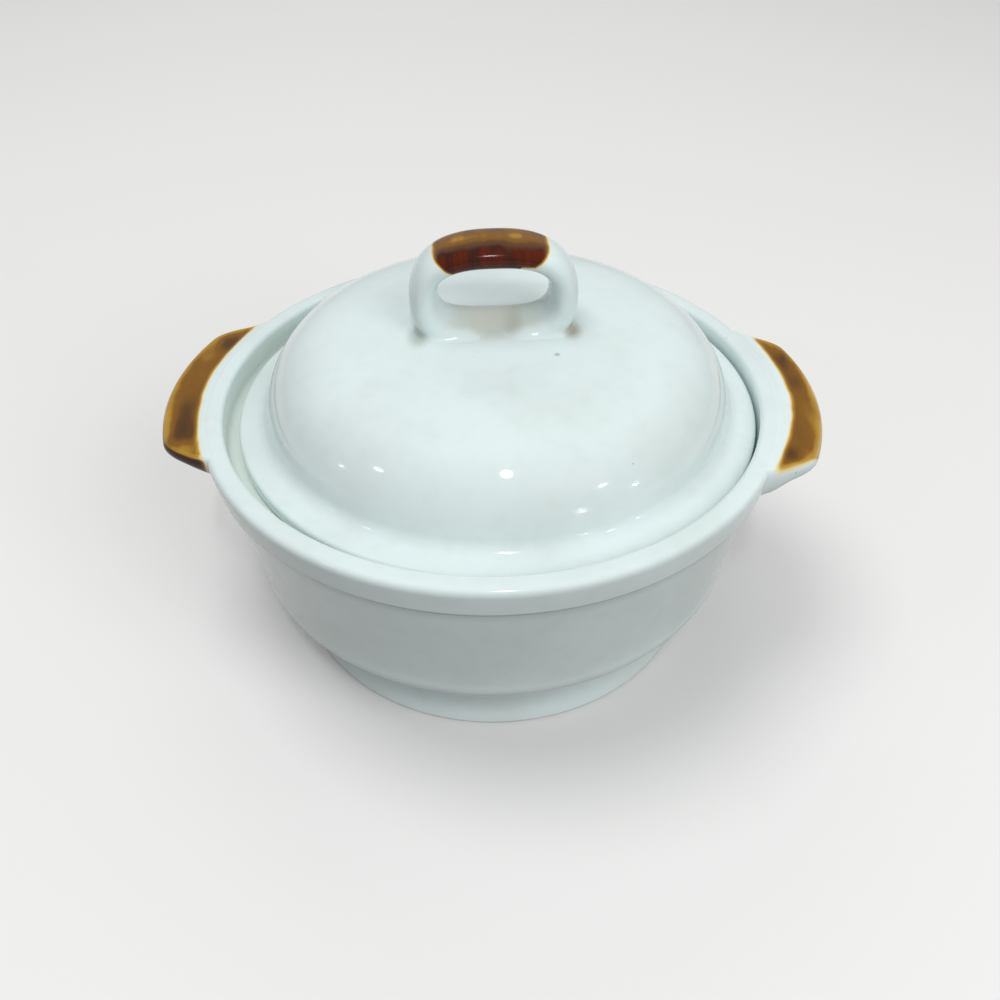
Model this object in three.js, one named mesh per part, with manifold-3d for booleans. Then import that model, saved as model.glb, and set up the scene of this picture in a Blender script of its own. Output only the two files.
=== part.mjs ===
// A lidded soup bowl in glazed stoneware: a turned bowl with a rim band and a sunk seat for its lid,
// two curved lugs luted to the rim, and a turned lid that carries a strap bent into an oval loop.
// Millimetres, +Z up. The origin is on the table, on the axis of the bowl, and the lugs lie along X.
import * as THREE from "three";
import { mergeVertices } from "three/addons/utils/BufferGeometryUtils.js";
import Module from "manifold-3d";

const wasm = await Module();
wasm.setup();

// Rim of the bowl
const rimRadius = 65; // outside of the rim at its crest
const rimHeight = 59; // crest above the table
const rimWidth = 4.9; // crest, from the outside to the edge of the lid seat
const rimSoftening = 2.2; // rounding of the outer edge of the crest
const seatEdgeSoftening = 1.2; // rounding of the inner edge of the crest
const bandHeight = 7; // crest down to the fine groove under the rim band
const bandTaper = 1; // how far the band draws in from crest to groove
const grooveDepth = 0.7; // step from the band in to the body
const grooveHeight = 0.6; // height over which the band steps in

// Sunk seat of the lid
const seatDepth = 6; // crest down to the ledge that carries the lid
const seatDraft = 0.2; // how far the seat narrows from crest to ledge
const seatSoftening = 1.2; // hollow curve between the wall of the seat and the ledge
const ledgeWidth = 5.4;
const ledgeSoftening = 1.2;

// Body and foot ring
const waistRadius = 57.6; // outside of the wall where it stands upright
const waistHeight = 23.2; // height of that place above the table
const bodyWall = 5.1;
const bellyDrop = 3; // how far below the waist the wall starts to turn under
const flareReach = 5; // how far above the waist the wall starts to flare
const footRadius = 49; // outside of the foot ring on the table
const footHeight = 13.9; // table to where the ring meets the body
const footTaper = 1.9; // how far the ring draws in on its way up
const footFlareHeight = 4.4; // height over which the ring draws in
const footWall = 5;
const footSoftening = 0.8;
const neckSoftening = 2.2; // rounding between the ring and the body
const undersideReach = 10; // how far the body's underside runs out from the ring before it turns up
const undersideRise = 4.4; // rise of the underside over that reach
const recessDepth = 9.5; // hollow inside the foot ring
const recessDraft = 1; // how far the hollow narrows towards its roof
const recessSoftening = 2.5;
const floorThickness = 6.5;
const floorSoftening = 17; // sweep of the inside from wall to floor

// Lid
const lidPlay = 1.8; // clearance round the lid when it is central in its seat
const lidLeastGap = 0.4; // clearance that is left where the lid leans to one side
const lidLeanDirection = -20; // degrees round from +X, as the lid was put down
const lidTurn = 6; // degrees from the line of the lugs to the line of the loop
const seatGap = 0.3; // from the ledge to the underside of the lid
const flangeWidth = 6.1;
const flangeThickness = 3; // at the edge of the lid
const flangeRise = 1.2; // rise of the flange from its edge to the dome
const flangeSoftening = 1;
const domeFillet = 3; // hollow curve between the flange and the dome
const domeHeight = 18.7; // flange to the top of the dome
const domeSquareness = 6.7; // 2 is an ellipse, more gives a steeper wall and a flatter top
const domeFullness = 1.49; // 2 is an ellipse, less draws the shoulder down
const lidWall = 4.2;
const mouthSoftening = 1;

// Loop on the lid
const loopWidth = 35.8; // outside, along the line of the loop
const loopShift = 0.6; // how far the loop stands to the left of the middle of the lid
const loopRise = 20.4; // top of the dome to the top of the loop
const loopSink = 6.6; // how far the oval runs on below the top of the dome
const ovalPower = 2.4; // outside of the loop: 2 is an ellipse, more is squarer
const openingPower = 2.8; // the same for its opening
const legThickness = 6.2;
const crownThickness = 6;
const footThickness = 2.1; // strap that lies along the dome under the opening
const strapWidth = 13;
const strapEdge = 5; // width of strap over which each edge is rounded off
const strapRounding = 2.6; // how far the faces of the strap fall away over that width
const footGap = 7; // between the two ends of the strap, on the top of the lid

// Lugs on the bowl
const lugReach = 8.8; // how far a lug stands out from the rim
const lugBow = 0.8; // how far the outer edge draws in towards its corners
const lugEdgeLength = 42; // along Y, outer edge before its corners turn in
const lugRootLength = 63; // along Y, where the sides have run into the rim
const lugThickness = 4.7; // at the rim
const lugTipThickness = 3.4;
const lugDrop = 0.8; // top of the lug below the crest of the rim
const lugBite = 1.2; // how far the ends of the uncut lug run into the rim
const lugSoftening = 1.6; // width over which the outer edge is rounded off

const luteGap = 0.3; // joint between a handle and the body that carries it
const sideShare = 0.48; // largest share of a side that one softened corner may take up

// Fineness of the curves
const turnSteps = 60; // facets round a turned body
const curveSteps = 7; // facets along a long curve of a profile
const cornerSteps = 3; // facets round a softened corner
const domeSteps = 14; // facets from the edge of the dome to its top
const ovalSteps = 44; // facets round the strap
const edgeSteps = 5; // facets across a rounded edge of the strap
const lugSteps = 28; // facets along the edge of a lug

// Colours of the glaze
const whiteGlaze = 0xe4e7e3;
const amberGlaze = 0x7d4c14;
const glazeRoughness = 0.16;

const point = (x, y) => new THREE.Vector2(x, y);

// The corner between two sides, drawn as a curve that starts and ends `reach` along them
function softCorner(before, corner, after, reach) {
  const back = before.clone().sub(corner);
  const ahead = after.clone().sub(corner);
  const limit = sideShare * Math.min(back.length(), ahead.length());
  const length = Math.min(reach, limit);
  const start = corner.clone().add(back.setLength(length));
  const end = corner.clone().add(ahead.setLength(length));
  return new THREE.QuadraticBezierCurve(start, corner, end).getPoints(cornerSteps);
}

// A line through [radius, height, softening] corners; a corner without softening stays sharp
function softLine(corners) {
  const places = corners.map(([x, y]) => point(x, y));
  return corners.flatMap(([, , softening], i) => {
    if (!softening) return [places[i]];
    return softCorner(places[i - 1], places[i], places[i + 1], softening);
  });
}

// A body turned about Z from a profile that rises on its outside
function turned(profile) {
  return new THREE.LatheGeometry(profile, turnSteps).rotateX(Math.PI / 2);
}

// Closed geometry as a solid that can be joined and cut
function solidOf(geometry) {
  geometry.deleteAttribute("normal");
  geometry.deleteAttribute("uv");
  const merged = mergeVertices(geometry);
  const mesh = new wasm.Mesh({
    numProp: 3,
    vertProperties: new Float32Array(merged.attributes.position.array),
    triVerts: new Uint32Array(merged.index.array),
  });
  return new wasm.Manifold(mesh);
}

// A solid back as geometry
function geometryOf(solid) {
  const mesh = solid.getMesh();
  const geometry = new THREE.BufferGeometry();
  geometry.setAttribute("position", new THREE.BufferAttribute(mesh.vertProperties, 3));
  geometry.setIndex(new THREE.BufferAttribute(mesh.triVerts, 1));
  geometry.computeVertexNormals();
  return geometry;
}

function glazedMesh(name, geometry, color) {
  const material = new THREE.MeshStandardMaterial({
    color,
    roughness: glazeRoughness,
    metalness: 0,
  });
  const mesh = new THREE.Mesh(geometry, material);
  mesh.name = name;
  return mesh;
}

// Sizes that follow from the ones above
const bandFootHeight = rimHeight - bandHeight;
const bandFootRadius = rimRadius - bandTaper;
const bodyTopRadius = bandFootRadius - grooveDepth;
const bodyTopHeight = bandFootHeight - grooveHeight;
const seatTopRadius = rimRadius - rimWidth;
const seatRadius = seatTopRadius - seatDraft;
const ledgeHeight = rimHeight - seatDepth;
const ledgeRadius = seatRadius - ledgeWidth;
const neckRadius = footRadius - footTaper;
const recessRadius = footRadius - footWall;
const floorHeight = recessDepth + floorThickness;
const lidRadius = seatRadius - lidPlay;
const domeRadius = lidRadius - flangeWidth;
const domeBase = flangeThickness + flangeRise;
const domeTop = domeBase + domeHeight;
const lugTop = rimHeight - lugDrop;
const lugRootRadius = rimRadius - lugBite - 2 * lugSoftening;
const lugEdgeAngle = Math.asin(lugEdgeLength / 2 / (rimRadius + lugReach));
const lugRootAngle = Math.asin(lugRootLength / 2 / rimRadius);

// Outside of the body, from the foot ring up to the groove under the band
function bodyCurves(offset) {
  const neck = point(neckRadius, footHeight);
  const waist = point(waistRadius, waistHeight);
  const top = point(bodyTopRadius, bodyTopHeight);
  const underside = point(neckRadius + undersideReach, footHeight + undersideRise);
  const belly = point(waistRadius, waistHeight - bellyDrop);
  const flare = point(waistRadius, waistHeight + flareReach);
  const turnUnder = new THREE.CubicBezierCurve(neck, underside, belly, waist);
  const wall = new THREE.QuadraticBezierCurve(waist, flare, top);
  const lower = turnUnder.getPoints(curveSteps).slice(1, -1);
  const upper = wall.getPoints(curveSteps).slice(0, -1);
  return [...lower, ...upper].map((p) => point(p.x + offset, p.y));
}

// Bowl: one profile from the recess under the foot, up the outside, over the rim and down to the floor
function bowlProfile() {
  const foot = softLine([
    [0, recessDepth],
    [recessRadius - recessDraft, recessDepth, recessSoftening],
    [recessRadius, 0, footSoftening],
    [footRadius, 0, footSoftening],
    [neckRadius, footFlareHeight, footFlareHeight],
    [neckRadius, footHeight - neckSoftening],
  ]);
  const rim = softLine([
    [bodyTopRadius, bodyTopHeight],
    [bandFootRadius, bandFootHeight],
    [rimRadius, rimHeight, rimSoftening],
    [seatTopRadius, rimHeight, seatEdgeSoftening],
    [seatRadius, ledgeHeight, seatSoftening],
    [ledgeRadius, ledgeHeight, ledgeSoftening],
    [waistRadius - bodyWall, floorHeight, floorSoftening],
    [0, floorHeight],
  ]);
  return [...foot, ...bodyCurves(0), ...rim];
}

const bowl = glazedMesh("bowl", turned(bowlProfile()), whiteGlaze);

// Outer edge of a lug: it draws in a little towards its corners, then sweeps in to lie inside the rim
function lugEdgeRadius(angle) {
  const spread = Math.abs(angle) / lugEdgeAngle;
  const outer = rimRadius + lugReach - lugBow * spread ** 2;
  const share = THREE.MathUtils.smoothstep(lugRootAngle - Math.abs(angle), 0, lugRootAngle - lugEdgeAngle);
  return THREE.MathUtils.lerp(rimRadius - lugBite, outer, share);
}

// Section of a lug in one plane through the axis: a level top, an underside that rises and a rounded edge
function lugSection(angle) {
  const shoulder = lugEdgeRadius(angle) - lugSoftening;
  const outward = THREE.MathUtils.clamp((shoulder - rimRadius) / lugReach, 0, 1);
  const halfThickness = THREE.MathUtils.lerp(lugThickness, lugTipThickness, outward) / 2;
  const edge = Array.from({ length: 2 * cornerSteps + 1 }, (unused, i) => {
    const turn = (i / cornerSteps - 1) * (Math.PI / 2);
    const height = lugTop - halfThickness + halfThickness * Math.sin(turn);
    return point(shoulder + lugSoftening * Math.cos(turn), height);
  });
  const section = [point(lugRootRadius, lugTop - lugThickness), ...edge, point(lugRootRadius, lugTop)];
  return section.map((p) => [p.x * Math.cos(angle), p.x * Math.sin(angle), p.y]);
}

// A closed skin over a row of sections with the same number of corners, which follow each other round +Z
function lofted(sections) {
  const corners = sections[0].length;
  const last = (sections.length - 1) * corners;
  const faces = [];
  for (let j = 0; j < corners; j++) {
    const next = (j + 1) % corners;
    for (let row = 0; row < last; row += corners) {
      const ahead = row + corners;
      faces.push(row + j, ahead + j, row + next, row + next, ahead + j, ahead + next);
    }
  }
  for (let j = 1; j < corners - 1; j++) {
    faces.push(0, j, j + 1, last, last + j + 1, last + j);
  }
  const geometry = new THREE.BufferGeometry();
  geometry.setAttribute("position", new THREE.Float32BufferAttribute(sections.flat(2), 3));
  geometry.setIndex(faces);
  return geometry;
}

// Everything inside the outside of the bowl, swollen by the joint gap
function bowlEnvelope() {
  const gap = luteGap;
  const outside = softLine([
    [0, footHeight],
    [neckRadius + gap, footHeight],
  ]);
  const band = softLine([
    [bodyTopRadius + gap, bodyTopHeight - gap],
    [bandFootRadius + gap, bandFootHeight - gap],
    [rimRadius + gap, rimHeight + gap, rimSoftening],
    [0, rimHeight + gap],
  ]);
  return solidOf(turned([...outside, ...bodyCurves(gap), ...band]));
}

function lugGeometry() {
  const angles = Array.from({ length: lugSteps + 1 }, (unused, i) => ((2 * i) / lugSteps - 1) * lugRootAngle);
  return geometryOf(solidOf(lofted(angles.map(lugSection))).subtract(bowlEnvelope()));
}

const lug = lugGeometry();
const rightLug = glazedMesh("right_lug_handle", lug, amberGlaze);
const leftLug = glazedMesh("left_lug_handle", lug.clone(), amberGlaze);
leftLug.rotation.z = Math.PI;

// Dome curve from its edge to its top: steep at the wall, round at the shoulder and flat on top
function domeCurve(radius, base, height) {
  const angles = Array.from({ length: domeSteps }, (unused, i) => (i / domeSteps) * (Math.PI / 2));
  const side = angles.map((angle) => {
    const across = Math.cos(angle) ** (2 / domeSquareness);
    const up = Math.sin(angle) ** (2 / domeFullness);
    return point(radius * across, base + height * up);
  });
  return [...side, point(0, base + height)];
}

// Lid, from its own seating face: up inside the dome, out along the flange and over the outside
function lidProfile() {
  const [mouth, ...inside] = domeCurve(domeRadius - lidWall, 0, domeTop - lidWall);
  const outside = domeCurve(domeRadius, domeBase, domeHeight);
  const wall = outside.filter((p) => p.y > domeBase + domeFillet);
  const flange = softLine([
    [inside[0].x, inside[0].y],
    [mouth.x, mouth.y, mouthSoftening],
    [lidRadius, 0, flangeSoftening],
    [lidRadius, flangeThickness, flangeSoftening],
    [domeRadius, domeBase, domeFillet],
    [wall[0].x, wall[0].y],
  ]);
  return [...inside.slice(1).reverse(), ...flange, ...wall.slice(1)];
}

const lid = glazedMesh("lid", turned(lidProfile()), whiteGlaze);

// An oval between an ellipse and a rectangle, about the middle of the loop
function oval(halfWidth, halfHeight, centre, power) {
  const bulge = (v) => Math.sign(v) * Math.abs(v) ** (2 / power);
  return Array.from({ length: ovalSteps }, (unused, i) => {
    const angle = (i / ovalSteps) * 2 * Math.PI;
    const across = halfWidth * bulge(Math.cos(angle));
    return point(across - loopShift, centre + halfHeight * bulge(Math.sin(angle)));
  });
}

// Loop: a strap whose ends curl in towards each other along the top of the lid
function loopGeometry() {
  const ovalHeight = loopRise + loopSink;
  const openingHeight = loopRise - crownThickness - footThickness;
  const top = domeTop + loopRise;
  const openingCentre = top - crownThickness - openingHeight / 2;
  const outline = new THREE.Shape(oval(loopWidth / 2, ovalHeight / 2, top - ovalHeight / 2, ovalPower));
  const opening = oval(loopWidth / 2 - legThickness, openingHeight / 2, openingCentre, openingPower);
  outline.holes.push(new THREE.Path(opening));
  const strap = new THREE.ExtrudeGeometry(outline, {
    depth: strapWidth - 2 * strapEdge,
    bevelThickness: strapEdge,
    bevelSize: strapRounding,
    bevelOffset: -strapRounding,
    bevelSegments: edgeSteps,
  });
  strap.translate(0, 0, strapEdge - strapWidth / 2);
  strap.rotateX(Math.PI / 2);

  const gapBottom = top - ovalHeight - luteGap;
  const gapHeight = openingCentre - gapBottom;
  const gap = new THREE.BoxGeometry(footGap, 2 * strapWidth, gapHeight);
  gap.translate(-loopShift, 0, gapBottom + gapHeight / 2);

  const dome = domeCurve(domeRadius + luteGap, domeBase, domeHeight + luteGap);
  const lidEnvelope = turned([point(0, 0), point(domeRadius + luteGap, 0), ...dome]);
  return geometryOf(solidOf(strap).subtract(solidOf(gap)).subtract(solidOf(lidEnvelope)));
}

const loop = glazedMesh("lid_loop_handle", loopGeometry(), whiteGlaze);

// The lid lies loose in its seat, leaning to one side
const lidGroup = new THREE.Group();
const lean = lidPlay - lidLeastGap;
const leanAngle = THREE.MathUtils.degToRad(lidLeanDirection);
lidGroup.position.set(lean * Math.cos(leanAngle), lean * Math.sin(leanAngle), ledgeHeight + seatGap);
lidGroup.rotation.z = THREE.MathUtils.degToRad(lidTurn);
lidGroup.add(lid, loop);

const lidded = new THREE.Group();
lidded.add(bowl, leftLug, rightLug, lidGroup);

export default lidded;
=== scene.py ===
"""Looks for a lidded stoneware bowl: a turned bowl, two curved lugs, a domed lid and its strap loop.

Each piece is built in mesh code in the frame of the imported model, in metres, and takes the place of its
solid.
"""

import math
from typing import NamedTuple

import bmesh
import bpy
import numpy as np
from bpy.props import FloatProperty, FloatVectorProperty, PointerProperty
from mathutils import Matrix, Vector


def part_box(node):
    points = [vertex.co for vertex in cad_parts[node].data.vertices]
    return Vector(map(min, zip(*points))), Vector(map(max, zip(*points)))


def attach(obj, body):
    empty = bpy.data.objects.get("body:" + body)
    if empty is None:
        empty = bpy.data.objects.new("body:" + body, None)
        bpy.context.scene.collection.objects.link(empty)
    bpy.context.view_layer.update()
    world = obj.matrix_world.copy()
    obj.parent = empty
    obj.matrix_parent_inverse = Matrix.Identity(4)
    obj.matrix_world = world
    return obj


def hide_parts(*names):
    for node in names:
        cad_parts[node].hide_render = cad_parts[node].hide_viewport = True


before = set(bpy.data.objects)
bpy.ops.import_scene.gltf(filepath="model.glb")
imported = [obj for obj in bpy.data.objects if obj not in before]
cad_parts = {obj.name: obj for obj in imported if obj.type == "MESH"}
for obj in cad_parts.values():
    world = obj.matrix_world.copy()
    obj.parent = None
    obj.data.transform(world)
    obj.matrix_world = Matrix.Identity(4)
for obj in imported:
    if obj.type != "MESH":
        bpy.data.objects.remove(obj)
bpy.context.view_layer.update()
bowl_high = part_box("bowl")[1]
lid_low, lid_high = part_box("lid")

bl_info = {
    "name": "Lidded stoneware bowl",
    "version": (1, 0, 0),
    "blender": (4, 5, 0),
    "location": "3D View > Sidebar > Lidded bowl",
    "description": "Builds a glazed stoneware bowl with a domed lid, a strap loop and lug handles",
    "category": "Add Mesh",
}

MM = 0.001

# How finely the meshes are cut
TURN_STEPS = 224  # round a turned body
FINE_STEPS = 3000  # along a curve, before its points are spaced out evenly
CORNER_STEPS, RIM_STEPS = 8, 12  # round a softened corner, and round one of the rim
UNDERSIDE_STEPS, WALL_STEPS, DOME_POINTS = 40, 26, 72  # along the parts of the turned profiles
LUG_ROWS, LUG_FLAT, LUG_ROUND = 121, 26, 23  # along a lug, across one of its flat faces and round its edge
LOOP_ROWS, LOOP_POINTS = 281, 72  # along the strap and round its section

SIDE_SHARE = 0.48  # most that the softening of one corner takes of a side
LUG_END = 0.4  # millimetres of flat face left at the ends of a lug
LOOP_END = 0.1  # millimetres from the middle of the foot to the first and last row of the strap
# Millimetres from the rim where the lift and the fillet at the root of a lug are full, and where they end
ROOT_LIFT_SPAN, ROOT_FILLET_SPAN = (-2.0, 1.8), (-0.6, 3.4)


# Sizes and colours


def amount(name, description, value, **more):
    return FloatProperty(name=name, description=description, default=value, **more)


def length(name, description, millimetres):
    return amount(name, description, millimetres * MM, min=0.0, precision=5, unit="LENGTH")


def angle(name, description, degrees):
    return amount(name, description, math.radians(degrees), subtype="ANGLE")


def vector(name, description, values, **more):
    return FloatVectorProperty(name=name, description=description, default=values, **more)


def point(name, description, *place):
    return vector(name, description, place, subtype="TRANSLATION", unit="LENGTH", precision=5)


def colour(name, description, *shade):
    return vector(name, description, shade, subtype="COLOR", min=0.0, max=1.0)


class BowlSizes(bpy.types.PropertyGroup):
    """Profile of the turned bowl"""

    rim_radius: length("Rim radius", "Outside of the rim at its crest", 64.96)
    rim_height: length("Rim height", "Crest of the rim above the table", bowl_high.z / MM)
    rim_width: length("Rim width", "Crest, from the outside to the lid seat", 4.9)
    rim_softening: length("Rim softening", "Rounding outside the crest", 2.2)
    seat_edge_softening: length("Seat edge softening", "Rounding inside the crest", 1.2)
    band_height: length("Band height", "Crest to the groove under the band", 7)
    band_taper: length("Band taper", "How far the band draws in downwards", 1)
    groove_depth: length("Groove depth", "Step from the band in to the body", 0.7)
    groove_height: length("Groove height", "Height over which the band steps in", 0.6)
    seat_depth: length("Seat depth", "Crest to the ledge under the lid", 6)
    seat_draft: length("Seat draft", "How far the seat narrows downwards", 0.2)
    seat_softening: length("Seat softening", "Hollow curve between seat and ledge", 1.2)
    ledge_width: length("Ledge width", "Ledge that carries the lid", 5.4)
    ledge_softening: length("Ledge softening", "Rounding inside the ledge", 1.2)
    waist_radius: length("Waist radius", "Outside, where the wall stands upright", 57.6)
    waist_height: length("Waist height", "Waist above the table", 23.2)
    body_wall: length("Body wall", "Thickness of the wall", 5.1)
    belly_drop: length("Belly drop", "Below the waist, where the wall turns under", 3)
    flare_reach: length("Flare reach", "Above the waist, where the wall flares", 5)
    foot_radius: length("Foot radius", "Outside of the foot ring on the table", 49)
    foot_height: length("Foot height", "Table to the foot of the body", 13.9)
    foot_taper: length("Foot taper", "How far the ring draws in upwards", 1.9)
    foot_flare_height: length("Foot flare height", "Height over which the ring draws in", 4.4)
    foot_wall: length("Foot wall", "Width of the ring on the table", 5)
    foot_softening: length("Foot softening", "Rounding of the edges of the ring", 0.8)
    neck_softening: length("Neck softening", "Rounding between ring and body", 2.2)
    underside_reach: length("Underside reach", "How far the underside runs out", 10)
    underside_rise: length("Underside rise", "Rise of the underside over that reach", 4.4)
    recess_depth: length("Recess depth", "Hollow inside the foot ring", 9.5)
    recess_draft: length("Recess draft", "How far the hollow narrows upwards", 1)
    recess_softening: length("Recess softening", "Rounding at the roof of the hollow", 2.5)
    floor_thickness: length("Floor thickness", "Floor of the bowl over the hollow", 6.5)
    floor_softening: length("Floor softening", "Sweep of the inside from wall to floor", 17)


class LugSizes(bpy.types.PropertyGroup):
    """Curved lugs at the rim"""

    reach: length("Reach", "How far a lug stands out from the rim", 8.8)
    bow: length("Bow", "How far the edge draws in at its corners", 0.8)
    edge_length: length("Edge length", "Outer edge before its corners turn in", 42)
    root_length: length("Root length", "Where the sides have run into the rim", 63)
    thickness: length("Thickness", "Right lug at the rim", 4.7)
    left_thickness: length("Left thickness", "Left lug at the rim", 3.6)
    tip_thickness: length("Tip thickness", "Thickness near the outer edge", 3.4)
    drop: length("Drop", "Top of a lug below the crest of the rim", 0.8)
    bite: length("Bite", "How far its ends run into the rim", 1.2)
    softening: length("Softening", "Width of the rounded outer edge", 1.6)
    root_lift: length("Root lift", "Rise of the glaze towards the crest", 0.75)
    root_fillet: length("Root fillet", "Drop of the right underside at the rim", 1.4)
    left_root_fillet: length("Left root fillet", "The same drop on the left lug", 0.4)


class LidSizes(bpy.types.PropertyGroup):
    """Profile of the turned lid, and how it lies in its seat"""

    radius: length("Radius", "Edge of the flange", 58.1)
    lean: length("Lean", "How far the lid lies off the axis", 1.4)
    lean_direction: angle("Lean direction", "Direction of the lean, round from +X", -20)
    turn: angle("Turn", "From the line of the lugs to the line of the loop", 6)
    flange_width: length("Flange width", "Edge of the lid to the foot of the dome", 6.1)
    flange_thickness: length("Flange thickness", "Flange at the edge of the lid", 3)
    flange_rise: length("Flange rise", "Rise from its edge to the dome", 1.2)
    flange_softening: length("Flange softening", "Rounding of the edge of the flange", 1)
    dome_fillet: length("Dome fillet", "Hollow curve between the flange and the dome", 4.6)
    dome_height: length("Dome height", "Flange to the top of the dome", 18.7)
    dome_squareness: amount("Dome squareness", "2 is an ellipse, more is steeper and flatter on top", 6.7)
    dome_fullness: amount("Dome fullness", "2 is an ellipse, less draws the shoulder down", 1.49)
    wall: length("Wall", "Thickness of the dome", 4.2)
    mouth_softening: length("Mouth softening", "Rounding inside the flange", 1)


class LoopSizes(bpy.types.PropertyGroup):
    """Strap bent into an oval loop on the lid"""

    width: length("Width", "Outside, along the line of the loop", 35.8)
    shift: length("Shift", "How far the loop stands left of the middle", 0.6)
    rise: length("Rise", "Top of the dome to the top of the loop", 20.4)
    sink: length("Sink", "How far the oval runs on below the top of the dome", 6.6)
    leg_thickness: length("Leg thickness", "Strap at the sides of the opening", 6.2)
    crown_thickness: length("Crown thickness", "Strap over the opening", 6)
    foot_thickness: length("Foot thickness", "Strap along the dome under the opening", 2.1)
    strap_width: length("Strap width", "Width of the strap", 13)
    foot_gap: length("Foot gap", "Between the ends of the strap, in front", 2.8)
    end_drop: length("End drop", "Length over which its ends fall to the lid", 4.8)
    bedding: length("Bedding", "How deep the strap is bedded in the lid", 2.4)
    glaze_fillet: length("Glaze fillet", "Glaze gathered where strap and lid meet", 1.7)
    glaze_dip: length("Glaze dip", "How far that glaze runs below the top", 0.15)
    oval_power: amount("Oval power", "Outside of the loop: 2 is an ellipse, more is squarer", 2.4)
    opening_power: amount("Opening power", "The same for its opening", 2.8)
    section_power: amount("Section power", "Section of the strap: 2 is an ellipse, more is squarer", 2.2)
    notch_start: amount("Notch start", "From -1 in front to 1 behind: where the notch is deepest", -0.8)
    notch_end: amount("Notch end", "On the same scale: where the ends of the strap meet in full", 0.95)


class GlazeColours(bpy.types.PropertyGroup):
    """Colours of the two glazes and of the bare clay"""

    white: colour("White", "White glaze where it is thin and even", 0.72, 0.824, 0.823)
    white_shade: colour("White shade", "White glaze where it lies thicker", 0.635, 0.728, 0.705)
    # Painted shade in the seat of the lid, partly also glaze gathered there
    pooled_white: colour("Pooled white", "White glaze gathered in the seat of the lid", 0.7, 0.79, 0.745)
    # Thin glaze darkened with painted shade from the crown of the loop
    thin_white: colour("Thin white", "White glaze so thin that the clay shows", 0.62, 0.625, 0.54)
    # Painted contact shadow in the undercut at the left foot of the loop
    pool_mark: colour("Pool mark", "Glaze run into the corner at the left of the loop", 0.33, 0.37, 0.32)
    # Brownish stain at the right foot of the loop, darkened with painted shade
    stain: colour("Stain", "Brownish stain at the right of the loop", 0.38, 0.335, 0.24)
    # Painted shade: the dark line in the groove and the shadow under the band
    groove: colour("Groove", "Dark line in the groove", 0.20, 0.22, 0.20)
    speck: colour("Speck", "Iron specks in the white glaze", 0.20, 0.13, 0.07)
    clay: colour("Clay", "Bare stoneware under the foot ring", 0.52, 0.41, 0.29)
    cream: colour("Cream", "Fringe where the amber runs out", 0.80, 0.66, 0.34)
    gold: colour("Gold", "Amber glaze where it breaks over an edge", 0.44, 0.25, 0.035)
    amber: colour("Amber", "Amber glaze at its usual thickness", 0.21, 0.092, 0.012)
    brown: colour("Brown", "Amber glaze where it lies thick", 0.095, 0.043, 0.014)
    dark: colour("Dark", "Amber glaze where it has pooled", 0.05, 0.02, 0.012)
    plum_brown: colour("Plum brown", "Amber glaze where it lies thick on the loop", 0.105, 0.048, 0.022)
    red_brown: colour("Red brown", "Thick glaze that has run down the loop", 0.112, 0.014, 0.003)
    pooled_red: colour("Pooled red", "The same glaze where it has pooled", 0.04, 0.011, 0.006)


class StageSettings(bpy.types.PropertyGroup):
    """Floor, light and camera"""

    floor: colour("Floor", "Colour of the floor", 0.84, 0.84, 0.83)
    floor_bounce: amount("Floor bounce", "Share of its light that the floor throws back", 0.12)
    sky: amount("Sky", "Strength of the even light from all round", 0.4)
    overhead_power: amount("Overhead power", "Power of the large lamp overhead, in watts", 4.9)
    front_power: amount("Front power", "Power of the large lamp in front, in watts", 4.4)
    back_power: amount("Back power", "Power of the large lamp behind, in watts", 1.1)
    spark_share: amount("Spark share", "Share of their power that the small lamps give", 1.0)
    camera_place: point("Camera place", "Where the camera stands", 0.011072, -0.189157, 0.187365)
    camera_target: point("Camera target", "Point in the middle of the picture", 0.002841, -0.022865, 0.045)
    camera_roll: angle("Camera roll", "Turn of the camera about its own axis", -0.47)
    lens: amount("Lens", "Focal length in millimetres on a sensor 36 mm wide", 36.0)


class LiddedBowl(bpy.types.PropertyGroup):
    """All settings of the lidded bowl"""

    bowl: PointerProperty(type=BowlSizes)
    lug: PointerProperty(type=LugSizes)
    lid: PointerProperty(type=LidSizes)
    loop: PointerProperty(type=LoopSizes)
    glaze: PointerProperty(type=GlazeColours)
    stage: PointerProperty(type=StageSettings)


# Outlines


def curve_points(points, steps):
    """Points along a Bezier curve with any number of control points."""
    shares = np.linspace(0.0, 1.0, steps + 1)[:, None, None]
    rows = np.repeat(np.array(points, float)[None], steps + 1, axis=0)
    while rows.shape[1] > 1:
        rows = rows[:, :-1] * (1 - shares) + rows[:, 1:] * shares
    return rows[:, 0]


def soft_line(corners, steps=CORNER_STEPS):
    """A line through (radius, height, softening) corners. A corner without softening stays as it is."""
    places = [np.array(corner[:2], float) for corner in corners]
    line = []
    for i, corner in enumerate(corners):
        if len(corner) == 2:
            line.append(places[i][None])
            continue
        sides = places[i - 1] - places[i], places[i + 1] - places[i]
        spans = [np.linalg.norm(side) for side in sides]
        reach = min(corner[2], SIDE_SHARE * min(spans))
        start, end = (places[i] + side * reach / span for side, span in zip(sides, spans))
        line.append(curve_points([start, places[i], end], steps))
    return np.concatenate(line)


def evenly_spaced(line, count):
    """The same line with its points at equal steps along it."""
    along = np.concatenate([[0.0], np.cumsum(np.linalg.norm(np.diff(line, axis=0), axis=1))])
    steps = np.linspace(0.0, along[-1], count)
    return np.column_stack([np.interp(steps, along, line[:, k]) for k in range(line.shape[1])])


def eased(value, low, high):
    """0 below low, 1 above high and a smooth rise between them."""
    share = np.clip((value - low) / (high - low), 0.0, 1.0)
    return share * share * (3 - 2 * share)


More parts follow.
